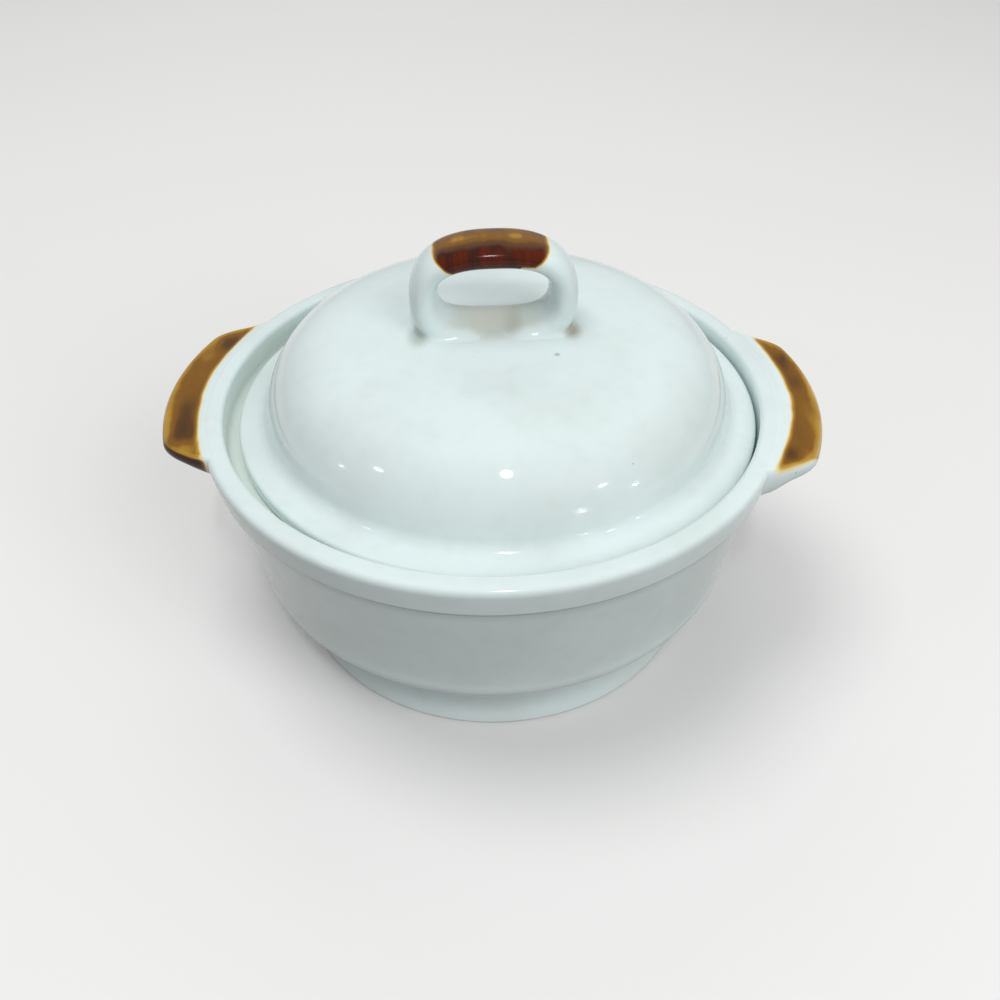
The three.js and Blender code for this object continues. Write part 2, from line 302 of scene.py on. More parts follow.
def bowl_profile(s):
    """From the recess under the foot, up the outside, over the rim and down to the floor."""
    neck_radius = s.foot_radius - s.foot_taper
    band_foot = (s.rim_radius - s.band_taper, s.rim_height - s.band_height)
    body_top = (band_foot[0] - s.groove_depth, band_foot[1] - s.groove_height)
    seat_top = s.rim_radius - s.rim_width
    ledge = s.rim_height - s.seat_depth
    floor = s.recess_depth + s.floor_thickness
    neck = (neck_radius, s.foot_height)
    waist = (s.waist_radius, s.waist_height)
    underside = (neck_radius + s.underside_reach, s.foot_height + s.underside_rise)
    belly = (s.waist_radius, s.waist_height - s.belly_drop)
    under = curve_points([neck, underside, belly, waist], UNDERSIDE_STEPS)
    flare = (s.waist_radius, s.waist_height + s.flare_reach)
    wall = curve_points([waist, flare, body_top], WALL_STEPS)
    joined = under[np.linalg.norm(under - under[0], axis=1) > 2 * s.neck_softening]
    foot = soft_line(
        [
            (0.0, s.recess_depth),
            (s.foot_radius - s.foot_wall - s.recess_draft, s.recess_depth, s.recess_softening),
            (s.foot_radius - s.foot_wall, 0.0, s.foot_softening),
            (s.foot_radius, 0.0, s.foot_softening),
            (neck_radius, s.foot_flare_height, s.foot_flare_height),
            (*neck, s.neck_softening),
            tuple(joined[0]),
        ]
    )
    rim = soft_line(
        [
            tuple(wall[-2]),
            (*body_top, s.groove_height / 3),
            (*band_foot, s.groove_height / 2),
            (s.rim_radius, s.rim_height, s.rim_softening),
            (seat_top, s.rim_height, s.seat_edge_softening),
            (seat_top - s.seat_draft, ledge, s.seat_softening),
            (seat_top - s.seat_draft - s.ledge_width, ledge, s.ledge_softening),
            (s.waist_radius - s.body_wall, floor, s.floor_softening),
            (0.0, floor),
        ],
        RIM_STEPS,
    )
    return np.concatenate([foot, joined[1:], wall[1:-2], rim])


def dome_curve(s, radius, base, height):
    """From the edge of the dome to its top: a steep wall, a round shoulder and a flat top."""
    turn = np.linspace(0.0, math.pi / 2, FINE_STEPS)
    across = np.clip(np.cos(turn), 0.0, 1.0) ** (2 / s.dome_squareness)
    up = np.sin(turn) ** (2 / s.dome_fullness)
    across[-1] = 0.0
    return evenly_spaced(np.column_stack([radius * across, base + height * up]), DOME_POINTS)


def lid_profile(s):
    """From inside the dome, out along the flange and over the outside, in the lid's own frame."""
    dome_radius = s.radius - s.flange_width
    dome_base = s.flange_thickness + s.flange_rise
    inside = dome_curve(s, dome_radius - s.wall, 0.0, dome_base + s.dome_height - s.wall)
    outside = dome_curve(s, dome_radius, dome_base, s.dome_height)
    wall = outside[outside[:, 1] > dome_base + s.dome_fillet]
    throat = inside[inside[:, 1] > 2 * s.mouth_softening]
    flange = soft_line(
        [
            tuple(throat[0]),
            (*inside[0], s.mouth_softening),
            (s.radius, 0.0, s.flange_softening),
            (s.radius, s.flange_thickness, s.flange_softening),
            (dome_radius, dome_base, s.dome_fillet),
            tuple(wall[0]),
        ]
    )
    return np.concatenate([throat[:0:-1], flange, wall[1:]])


def lug_edge_radius(bowl, lug, turn):
    """Outer edge of a lug: it draws in a little towards its corners, then sweeps in inside the rim."""
    edge_turn = math.asin(lug.edge_length / 2 / (bowl.rim_radius + lug.reach))
    root_turn = math.asin(lug.root_length / 2 / bowl.rim_radius)
    outer = lug.reach - lug.bow * (turn / edge_turn) ** 2
    share = eased(root_turn - np.abs(turn), 0.0, root_turn - edge_turn)
    return bowl.rim_radius - lug.bite + share * (outer + lug.bite)


def lug_section(bowl, lug, turn, root_thickness, root_fillet):
    """Radius and height round one section of a lug, from the root along the top, over the edge and back."""
    tip = float(lug_edge_radius(bowl, lug, turn))
    shoulder = tip - lug.softening
    root = bowl.rim_radius - lug.bite - lug.softening - LUG_END * MM
    top = bowl.rim_height - lug.drop
    inner = np.linspace(root, shoulder, LUG_FLAT)
    off_rim = inner - bowl.rim_radius
    outward = np.clip(off_rim / lug.reach, 0.0, 1.0)
    lift = lug.root_lift * (1 - eased(off_rim / MM, *ROOT_LIFT_SPAN))
    fillet = root_fillet * (1 - eased(off_rim / MM, *ROOT_FILLET_SPAN))
    thickness = root_thickness + outward * (lug.tip_thickness - root_thickness)
    above, below = top + lift, top - thickness - fillet
    turns = np.linspace(math.pi / 2, -math.pi / 2, LUG_ROUND + 2)[1:-1]
    middle, half = (above[-1] + below[-1]) / 2, (above[-1] - below[-1]) / 2
    edge = np.column_stack([shoulder + lug.softening * np.cos(turns), middle + half * np.sin(turns)])
    return np.concatenate([np.column_stack([inner, above]), edge, np.column_stack([inner, below])[::-1]])


def oval(turn, half_width, half_height, centre, power):
    """Points round an oval between an ellipse and a rectangle."""
    across = np.sign(np.cos(turn)) * np.abs(np.cos(turn)) ** (2 / power)
    up = np.sign(np.sin(turn)) * np.abs(np.sin(turn)) ** (2 / power)
    return np.column_stack([half_width * across, centre + half_height * up])


def loop_rows(lid, loop):
    """Sections of the strap from the middle of its foot over the crown and back, in the lid's own frame."""
    dome_top = lid.flange_thickness + lid.flange_rise + lid.dome_height
    top = dome_top + loop.rise
    half_oval = (loop.rise + loop.sink) / 2
    half_opening = (loop.rise - loop.crown_thickness - loop.foot_thickness) / 2
    opening_half_width = loop.width / 2 - loop.leg_thickness
    end_turn = math.acos((LOOP_END * MM / opening_half_width) ** (loop.opening_power / 2))
    dense = np.linspace(math.pi + end_turn, -end_turn, 2 * FINE_STEPS + 1)
    opening_centre = top - loop.crown_thickness - half_opening
    inner = oval(dense, opening_half_width, half_opening, opening_centre, loop.opening_power)
    outer = oval(dense, loop.width / 2, half_oval, top - half_oval, loop.oval_power)
    both = evenly_spaced(np.column_stack([inner, outer]), LOOP_ROWS)
    inner, outer = both[:, :2], both[:, 2:]
    outer[:, 1] = np.maximum(outer[:, 1], dome_top - loop.bedding)

    # The ends meet at the back and leave a notch at the front, and glaze has gathered all round on the lid
    ground = dome_top - loop.glaze_dip
    low = inner[:, 1] < opening_centre
    from_end = np.where(low, np.abs(inner[:, 0]) - loop.foot_gap / 2, loop.width)
    section = np.linspace(0.0, 2 * math.pi, LOOP_POINTS, endpoint=False)
    rounded = oval(section, 1.0, 1.0, 0.0, loop.section_power)
    along, across = rounded[:, 0], rounded[:, 1]
    facing = np.sign(rounded) * np.abs(rounded) ** (loop.section_power - 1)
    facing /= np.linalg.norm(facing, axis=1)[:, None]
    joined = eased(across, loop.notch_start, loop.notch_end)
    rows = []
    for i in range(len(inner)):
        full = joined + (1 - joined) * eased(from_end[i], 0.0, loop.end_drop)
        upper = np.column_stack([np.full(len(full), inner[i, 0]), ground + (inner[i, 1] - ground) * full])
        place = (outer[i] + upper) / 2 + along[:, None] * (outer[i] - upper) / 2
        height = np.clip((place[:, 1] - ground) / loop.glaze_fillet, 0.0, 1.0)
        spread = loop.glaze_fillet * (1 - np.sqrt(1 - (1 - height) ** 2)) * float(low[i])
        outward = np.sign(inner[i, 0]) * spread * np.maximum(facing[:, 0], 0.0)
        sideways = across * loop.strap_width / 2 + spread * facing[:, 1]
        rows.append(np.column_stack([place[:, 0] + outward - loop.shift, sideways, place[:, 1]]))
    return rows


# Meshes


def skinned_object(name, rows, *ends):
    """A closed skin over rows of points, which runs to two end points or is joined into a ring."""
    count = len(rows[0])
    points = np.concatenate([*rows, *[[end] for end in ends]])
    starts = list(range(0, count * len(rows), count))
    pairs = list(zip(starts, starts[1:] if ends else starts[1:] + starts[:1]))
    faces = []
    for j in range(count):
        following = (j + 1) % count
        for row, other in pairs:
            faces.append((row + j, row + following, other + following, other + j))
        if ends:
            faces.append((len(points) - 2, following, j))
            faces.append((len(points) - 1, starts[-1] + j, starts[-1] + following))
    mesh = bpy.data.meshes.new(name)
    mesh.from_pydata(points.tolist(), [], faces)
    shell = bmesh.new()
    shell.from_mesh(mesh)
    bmesh.ops.recalc_face_normals(shell, faces=shell.faces)
    shell.to_mesh(mesh)
    shell.free()
    mesh.shade_smooth()
    if mesh.validate():
        raise RuntimeError(f"the mesh of {name} is broken")
    piece = bpy.data.objects.new(name, mesh)
    bpy.context.scene.collection.objects.link(piece)
    return piece


def turned_object(name, profile):
    """A body turned about Z from a profile that starts and ends on the axis."""
    turns = np.arange(TURN_STEPS) * (2 * math.pi / TURN_STEPS)
    circle = np.column_stack([np.cos(turns), np.sin(turns)])
    rows = [np.insert(radius * circle, 2, height, axis=1) for radius, height in profile[1:-1]]
    return skinned_object(name, rows, (0.0, 0.0, profile[0][1]), (0.0, 0.0, profile[-1][1]))


def lug_object(name, bowl, lug, side, root_thickness, root_fillet):
    """One lug that keeps, at each point, the distance from its outer edge and the turn over that edge."""
    root_turn = math.asin(lug.root_length / 2 / bowl.rim_radius)
    turns = np.linspace(-root_turn, root_turn, LUG_ROWS)
    outline_radius = lug_edge_radius(bowl, lug, turns)
    outline = np.column_stack([outline_radius * np.cos(turns), outline_radius * np.sin(turns)])
    rows, edges, over = [], [], []
    for turn in turns:
        section = lug_section(bowl, lug, turn, root_thickness, root_fillet)
        plan = np.column_stack([section[:, 0] * math.cos(turn), section[:, 0] * math.sin(turn)])
        apart = np.linalg.norm(plan[:, None] - outline[None], axis=2).min(axis=1)
        edges.append(apart)
        over.append(np.clip((np.arange(len(section)) - LUG_FLAT) / LUG_ROUND, 0.0, 1.0))
        rows.append(np.column_stack([side * plan, section[:, 1]]))
    piece = skinned_object(name, rows, rows[0].mean(axis=0), rows[-1].mean(axis=0))
    for key, values in (("edge_distance", edges), ("edge_turn", over)):
        attribute = piece.data.attributes.new(key, "FLOAT", "POINT")
        attribute.data.foreach_set("value", np.concatenate([*values, [0.0, 0.0]]).astype(np.float32))
    return piece


def seat_on_ledge(piece, lid):
    """Puts a piece made in the lid's own frame where the lid lies in its seat."""
    across, along = lid.lean * math.cos(lid.lean_direction), lid.lean * math.sin(lid.lean_direction)
    piece.matrix_world = Matrix.Translation((across, along, lid_low.z)) @ Matrix.Rotation(lid.turn, 4, "Z")


def dress(piece, material, body, slot, *nodes):
    """Gives a piece its glaze and its place in the frame."""
    piece.data.materials.append(material)
    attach(piece, body)
    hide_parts(*nodes)


# Glazes


class NodeDraft:
    """Adds nodes to one node tree and joins them up."""

    def __init__(self, tree):
        self.tree = tree

    def feed(self, socket, value):
        """Joins a socket to an output, or sets its colour, vector or number."""
        if isinstance(value, bpy.types.NodeSocket):
            self.tree.links.new(value, socket)
        else:
            socket.default_value = (*value, 1.0) if socket.type == "RGBA" else value

    def add(self, kind, inputs=None, **settings):
        node = self.tree.nodes.new(kind)
        for name, value in settings.items():
            setattr(node, name, value)
        for socket, value in (inputs or {}).items():
            self.feed(node.inputs[socket], value)
        return node

    def math(self, operation, first, *others):
        """One number made from several, taken one after the other."""
        for other in others or (0.0,):
            first = self.add("ShaderNodeMath", {0: first, 1: other}, operation=operation).outputs[0]
        return first

    def total(self, *values):
        return self.math("ADD", *values)

    def product(self, *values):
        return self.math("MULTIPLY", *values)

    def ease(self, value, low, high, start=0.0, end=1.0):
        """start below low, end above high and a smooth run between them."""
        inputs = {"Value": value, "From Min": low, "From Max": high, "To Min": start, "To Max": end}
        return self.add("ShaderNodeMapRange", inputs, interpolation_type="SMOOTHSTEP").outputs["Result"]

    def blend(self, share, first, second):
        """A mix of two colours, which are inputs 6 and 7 and output 2 of their node."""
        return self.add("ShaderNodeMix", {0: share, 6: first, 7: second}, data_type="RGBA").outputs[2]

    def noise(self, place, scale, detail=2.0):
        inputs = {"Vector": place, "Scale": scale, "Detail": detail}
        return self.add("ShaderNodeTexNoise", inputs).outputs["Fac"]

    def wander(self, place, scale, low, high, detail=2.0):
        """A value that drifts between low and high over the surface."""
        return self.ease(self.noise(place, scale, detail), *NOISE_SPAN, low, high)

    def stretched(self, place, *factors):
        inputs = {0: place, 1: factors}
        return self.add("ShaderNodeVectorMath", inputs, operation="MULTIPLY").outputs["Vector"]

    def apart(self, place, point):
        return self.add("ShaderNodeVectorMath", {0: place, 1: point}, operation="DISTANCE").outputs["Value"]


class MaterialDraft(NodeDraft):
    """Drafts a material with one glossy shader."""

    def __init__(self, name, specular=0.5):
        self.material = bpy.data.materials.new(name)
        self.material.use_nodes = True
        super().__init__(self.material.node_tree)
        self.tree.nodes.clear()
        inputs = {"IOR": GLAZE_IOR, "Specular IOR Level": specular}
        self.shader = self.add("ShaderNodeBsdfPrincipled", inputs)
        self.add("ShaderNodeOutputMaterial", {"Surface": self.shader.outputs["BSDF"]})

    def own_place(self):
        """Place on the piece, in metres, and its radius, X, Y and Z in millimetres."""
        place = self.add("ShaderNodeTexCoord").outputs["Object"]
        in_mm = self.stretched(place, 1 / MM, 1 / MM, 1 / MM)
        parts = self.add("ShaderNodeSeparateXYZ", {0: in_mm}).outputs
        flat = self.stretched(in_mm, 1.0, 1.0, 0.0)
        radius = self.add("ShaderNodeVectorMath", {0: flat}, operation="LENGTH").outputs["Value"]
        return place, radius, parts["X"], parts["Y"], parts["Z"]

    def glazed(self, shade, place, waves, height, **polishing):
        """The finished glaze, with so many waves to the metre, so many millimetres high."""
        ripple = glaze_ripple(self, place=place, scale=waves)
        bump = self.add("ShaderNodeBump", {"Height": ripple, "Distance": height * MM})
        self.feed(self.shader.inputs["Normal"], bump.outputs["Normal"])
        self.feed(self.shader.inputs["Base Color"], shade)
        self.feed(self.shader.inputs["Roughness"], glaze_polish(self, place=place, **polishing))
        return self.material


def in_metres(*millimetres):
    return tuple(value * MM for value in millimetres)


FLOAT, VECTOR, COLOUR = "NodeSocketFloat", "NodeSocketVector", "NodeSocketColor"


def label(name):
    return name.replace("_", " ").capitalize()


def new_group(title, build):
    """A shader group with an input for each argument of build and an output for each value that it gives."""
    tree = bpy.data.node_groups.new(title, "ShaderNodeTree")
    for name, kind in build.__annotations__.items():
        tree.interface.new_socket(name=label(name), in_out="INPUT", socket_type=kind)
    draft = NodeDraft(tree)
    given = draft.add("NodeGroupInput").outputs
    made = build(draft, **{name: given[label(name)] for name in build.__annotations__})
    for name, socket in made.items():
        kind = COLOUR if socket.type == "RGBA" else FLOAT
        tree.interface.new_socket(name=name, in_out="OUTPUT", socket_type=kind)
    draft.add("NodeGroupOutput", made)
    return tree


def shared(build):
    """Lets materials share an effect: the first call makes its group, and each call adds it to a draft.

    An input that is named after one of the glaze colours takes that colour.
    """
    title = label(build.__name__)

    def use(draft, glaze=None, **inputs):
        tree = bpy.data.node_groups.get(title) or new_group(title, build)
        for name in build.__annotations__:
            if name in GlazeColours.__annotations__:
                inputs[name] = getattr(glaze, name)
        inputs = {label(name): value for name, value in inputs.items()}
        made = draft.add("ShaderNodeGroup", inputs, node_tree=tree).outputs
        return made[0] if len(made) == 1 else tuple(made)

    return use


GLAZE_IOR = 1.52
CLAY_ROUGHNESS = 0.85
NOISE_SPAN = (0.3, 0.7)  # nearly all of a noise lies between these
BROAD_CLOUDS, FINE_CLOUDS, SPECK_CELLS = 38.0, 260.0, 150.0  # to the metre of white glaze
SPECK_RIM, SPECK_CORE = 0.03, 0.012  # radius of a speck and of its dark core, as shares of a cell
SPECK_CHANCE, SPECK_STRENGTH = 0.6, 0.7  # share of the cells with a speck, and how dark it is
FLECK_CORE, FOOT_MARK_CORE = 0.2, 0.3  # radius in millimetres that has the full colour
DIMPLE_SCALE, DIMPLE_HEIGHT = 7.0, 0.08  # against those of the waves

# Painted contact shadow at the left foot of the loop, and a brownish stain with painted shade at its right
# foot: x, y, z and size in millimetres on the lid, and strength
FOOT_SHADOW_AND_STAIN = ((-17.0, -4.73, 22.8, 3.3, 0.62), (15.7, -4.18, 23.2, 3.0, 0.75))
# The marks drawn out here are the painted contact shadow and the shaded stain at the feet of the loop
FOOT_MARK_SQUEEZE = 0.55  # below 1 draws the stains out to the front and back

# How thick the amber lies where it starts to turn gold, amber, brown and dark, and where it has turned
AMBER_STEPS = ((0.08, 0.24), (0.22, 0.46), (0.48, 0.74), (0.76, 1.0))
AMBER_COVER = (0.01, 0.09)  # how thick it lies where it starts to hide the white, and where it hides it


@shared
def white_glaze(draft, place: VECTOR, white: COLOUR, white_shade: COLOUR, speck: COLOUR):
    """Clouds of thin and thick glaze, strewn with small iron specks."""
    broad = draft.ease(draft.noise(place, BROAD_CLOUDS, 3.0), 0.42, 0.72, 0.0, 0.55)
    fine = draft.ease(draft.noise(place, FINE_CLOUDS), 0.45, 0.75, 0.0, 0.22)
    clouds = draft.blend(draft.total(broad, fine), white, white_shade)
    cells = draft.add("ShaderNodeTexVoronoi", {"Vector": place, "Scale": SPECK_CELLS}).outputs
    dot = draft.ease(cells["Distance"], SPECK_RIM, SPECK_CORE, 0.0, SPECK_STRENGTH)
    chance = draft.add("ShaderNodeSeparateColor", {0: cells["Color"]}).outputs[0]
    dots = draft.product(dot, draft.math("LESS_THAN", chance, SPECK_CHANCE))
    return {"Colour": draft.blend(dots, clouds, speck)}


@shared
def large_fleck(
    draft, place: VECTOR, base: COLOUR, centre: VECTOR, size: FLOAT, strength: FLOAT, speck: COLOUR
):
    """One brown fleck of iron on the glaze."""
    mask = draft.ease(draft.apart(place, centre), size, FLECK_CORE * MM, 0.0, strength)
    return {"Colour": draft.blend(mask, base, speck)}


@shared
def corner_stains(draft, place: VECTOR, base: COLOUR, pool_mark: COLOUR, stain: COLOUR):
    """Painted contact shadow at the left foot of the loop, and a brown stain with painted shade at its right
    foot.
    """
    squeezed = draft.stretched(place, 1.0, FOOT_MARK_SQUEEZE, 1.0)
    for (x, y, z, size, strength), shade in zip(FOOT_SHADOW_AND_STAIN, (pool_mark, stain)):
        apart = draft.apart(squeezed, in_metres(x, y * FOOT_MARK_SQUEEZE, z))
        base = draft.blend(draft.ease(apart, size * MM, FOOT_MARK_CORE * MM, 0.0, strength), base, shade)
    return {"Colour": base}


@shared
def glaze_ripple(draft, place: VECTOR, scale: FLOAT):
    """Slow waves and fine dimples in the surface of the glaze."""
    waves = draft.noise(place, scale, 1.0)
    dimples = draft.noise(place, draft.product(scale, DIMPLE_SCALE), 1.0)
    return {"Height": draft.total(waves, draft.product(dimples, DIMPLE_HEIGHT))}


@shared
def glaze_polish(draft, place: VECTOR, scale: FLOAT, smooth: FLOAT, rough: FLOAT, bare: FLOAT):
    """Roughness that drifts over the glaze, and dull clay where it is bare."""
    dull = draft.product(bare, CLAY_ROUGHNESS)
    return {"Roughness": draft.math("MAXIMUM", draft.wander(place, scale, smooth, rough), dull)}


@shared
def amber_break(
    draft, thickness: FLOAT, cream: COLOUR, gold: COLOUR, amber: COLOUR, thick: COLOUR, pooled: COLOUR
):
    """Amber glaze from a cream fringe over gold to dark pools, and how far it hides the white."""
    shade = cream
    for (low, high), deeper in zip(AMBER_STEPS, (gold, amber, thick, pooled)):
        shade = draft.blend(draft.ease(thickness, low, high), shade, deeper)
    return {"Colour": shade, "Cover": draft.ease(thickness, *AMBER_COVER)}


def bowl_glaze(glaze, bowl):
    """White glaze with painted shade in the groove, under the band and in the seat of the lid, and missing
    where the ring stood in the kiln.
    """
    draft = MaterialDraft("Bowl white glaze")
    place, radius, x, _, z = draft.own_place()
    base = white_glaze(draft, glaze, place=place)

    # Painted shade: a dark line in the groove, and a painted shadow of the band that fades out below it
    groove = (bowl.rim_height - bowl.band_height - bowl.groove_height / 2) / MM
    line = draft.ease(draft.math("ABSOLUTE", draft.math("SUBTRACT", z, groove)), 0.9, 0.2, 0.0, 0.75)
    painted_band_shadow = draft.ease(z, groove - 3.5, groove, 0.0, 0.22)
    below = draft.product(painted_band_shadow, draft.math("LESS_THAN", z, groove))
    outside = draft.math("GREATER_THAN", radius, (bowl.rim_radius - bowl.band_taper) / MM - 3)
    line = draft.product(draft.math("MAXIMUM", line, below), outside)
    base = draft.blend(line, base, glaze.groove)

    # Painted shade in the seat of the lid, towards the left, partly also glaze that has gathered there
    crest, seat_radius = bowl.rim_height / MM, (bowl.rim_radius - bowl.rim_width) / MM
    seat_shade = draft.product(
        draft.ease(z, crest - 0.4, crest - 2.6),
        draft.ease(z, 46.0, 50.0),
        draft.math("LESS_THAN", radius, seat_radius + 1.0),
        draft.ease(x, 30.0, -20.0),
    )
    base = draft.blend(seat_shade, base, glaze.pooled_white)

    # Bare clay under the foot ring, up to a line that wanders a little
    bare = draft.math("LESS_THAN", z, draft.wander(place, 90.0, 0.04, 0.2))
    grain = draft.wander(place, 1400.0, 0.75, 1.0)
    base = draft.blend(bare, base, draft.blend(grain, [c * 0.7 for c in glaze.clay], glaze.clay))
    surface = {"waves": 55.0, "height": 0.14, "scale": 120.0, "bare": bare}
    return draft.glazed(base, place, smooth=0.09, rough=0.15, **surface)


def lid_glaze(glaze, loop):
    """White glaze with one large fleck in front of the loop, bare under the flange."""
    draft = MaterialDraft("Lid white glaze")
    place, radius, x, y, z = draft.own_place()
    base = white_glaze(draft, glaze, place=place)
    fleck = {"centre": in_metres(11.7, -13.6, 22.8), "size": 0.9 * MM, "strength": 0.5}
    base = large_fleck(draft, glaze, place=place, base=base, **fleck)
    # Painted contact shadow and a shaded stain at the feet of the loop
    base = corner_stains(draft, glaze, place=place, base=base)

    # Thin glaze and painted shade from the crown on top of the dome, in the notch between the ends of the
    # strap
    notch = draft.product(
        draft.ease(draft.math("ABSOLUTE", draft.total(x, loop.shift / MM)), 4.2, 0.8),
        draft.ease(z, 20.0, 21.0),
        draft.ease(draft.math("ABSOLUTE", y), 8.2, 5.0, 0.0, 0.5),
    )
    base = draft.blend(notch, base, glaze.thin_white)
    bare = draft.product(draft.math("LESS_THAN", z, 0.12), draft.math("GREATER_THAN", radius, 47.0))
    base = draft.blend(bare, base, glaze.clay)
    surface = {"waves": 55.0, "height": 0.14, "scale": 120.0, "bare": bare}
    return draft.glazed(base, place, smooth=0.07, rough=0.13, **surface)


class LugLook(NamedTuple):
    """How the amber glaze lies on one lug"""

    bulge: float  # how far the white of the rim runs out onto the lug, in millimetres
    edge_depth: float  # how thick the amber lies on the outer edge
    # On the left lug the dark amber below the edge is thick glaze and partly painted shade
    side_depth: float  # how thick it lies below that edge
    side_end: float  # where it ends on the turn over the edge, from 0 on top to 1 underneath
    bare_front: float  # how much of the front end was left white
    pools: tuple  # x, y and size of each patch in millimetres, and how much thicker the amber lies there


LEFT_LOOK = LugLook(
    bulge=0.25,
    edge_depth=0.2,
    side_depth=1.15,
    side_end=1.1,
    bare_front=0.0,
    pools=(
        (-66.0, -17.7, 4.6, 0.4),
        (-67.8, -11.0, 4.2, 0.16),
        (-64.8, 18.4, 4.0, 0.24),
        (-68.6, 11.5, 3.0, -0.07),
        (-68.9, 4.0, 3.0, -0.06),
        (-64.6, -23.6, 3.6, -0.12),
    ),
)
RIGHT_LOOK = LugLook(
    bulge=2.0,
    edge_depth=0.172,
    side_depth=0.2,
    side_end=0.5,
    bare_front=1.0,
    pools=(
        (68.0, 15.5, 4.6, 0.24),
        (69.8, 7.0, 4.2, 0.12),
        (63.8, -21.8, 4.0, 0.3),
        (68.6, -11.0, 4.6, -0.03),
    ),
)
POOL_SQUEEZE = 0.6  # below 1 draws the pools out along the lug


def lug_glaze(name, glaze, bowl, look):
    """Amber glaze on a lug: gold over the edge, dark where it pooled and cream where it runs out."""
    draft = MaterialDraft(name, specular=0.15)
    place, radius, _, y, _ = draft.own_place()
    edge = draft.add("ShaderNodeAttribute", attribute_name="edge_distance").outputs["Fac"]
    edge = draft.product(edge, 1 / MM)
    over = draft.add("ShaderNodeAttribute", attribute_name="edge_turn").outputs["Fac"]
    waver = draft.wander(place, 110.0, -0.14, 0.14)
    start = draft.total(draft.ease(y, -27.0, 2.0, 0.1, look.bulge), bowl.rim_radius / MM, waver)
    rooted = draft.ease(draft.math("SUBTRACT", radius, start), -0.3, 1.6)

    # Streaks along the lug, and pools
    streaks = draft.wander(draft.stretched(place, 1.0, 0.3, 1.0), 260.0, -0.06, 0.07, 3.0)
    depth = draft.total(streaks, draft.ease(edge, 1.5, 5.0, 0.39, 0.5))
    squeezed = draft.stretched(place, 1.0, POOL_SQUEEZE, 0.0)
    for px, py, size, deepening in look.pools:
        apart = draft.apart(squeezed, in_metres(px, py * POOL_SQUEEZE, 0.0))
        depth = draft.total(depth, draft.ease(apart, size * MM, 0.0, 0.0, deepening))

    # The amber thins out towards the edge, and to a cream fringe on a front end that was left white
    frayed = draft.total(edge, draft.product(waver, 2.4))
    front = draft.product(draft.ease(y, -18.5, -24.0), look.bare_front)
    brink = draft.ease(front, 0.0, 1.0, look.edge_depth, 0.185)
    narrow = draft.product(draft.ease(y, -16.0, -23.0), 1.0 - look.bare_front)
    nearest, furthest = draft.ease(narrow, 0.0, 1.0, 0.5, 0.1), draft.ease(narrow, 0.0, 1.0, 2.6, 1.3)
    inland = draft.ease(frayed, nearest, furthest)
    depth = draft.total(brink, draft.product(draft.math("SUBTRACT", depth, brink), inland))

    # Below the edge the amber lies thicker or ends; on the left lug its darkest shade there is thick glaze
    # and partly painted shade
    below = draft.math("SUBTRACT", look.side_depth, depth)
    depth = draft.total(depth, draft.product(draft.ease(over, 0.2, 0.36), below))
    thinning = draft.ease(front, 0.0, 1.0, look.side_end, 0.05)
    gone = draft.ease(front, 0.0, 1.0, look.side_end + 0.2, 0.34)
    cover = draft.product(draft.math("SUBTRACT", 1.0, draft.ease(over, thinning, gone)), rooted)
    thickness = draft.product(depth, cover)
    amber, covered = amber_break(draft, glaze, thickness=thickness, thick=glaze.brown, pooled=glaze.dark)
    base = draft.blend(covered, white_glaze(draft, glaze, place=place), amber)
    fleck = {"centre": in_metres(64.6, -25.8, 56.6), "size": 0.6 * MM, "strength": 0.8}
    base = large_fleck(draft, glaze, place=place, base=base, **fleck)
    return draft.glazed(base, place, waves=90.0, height=0.14, scale=160.0, smooth=0.08, rough=0.16)


# Ends of the amber on the loop, in millimetres: the slant times the height, plus x, is AMBER_LEFT on its left
# line, and less x is AMBER_RIGHT on the right. It goes down to AMBER_FOOT on the right, 4 lower elsewhere.
AMBER_SLANT, AMBER_LEFT, AMBER_RIGHT, AMBER_FOOT = 1.38, 42.5, 45.6, 38.6
# Where gold shows through on top: x in millimetres and how much thinner the amber lies there
GOLD_PATCHES = ((-6.5, -0.14), (4.4, -0.1))


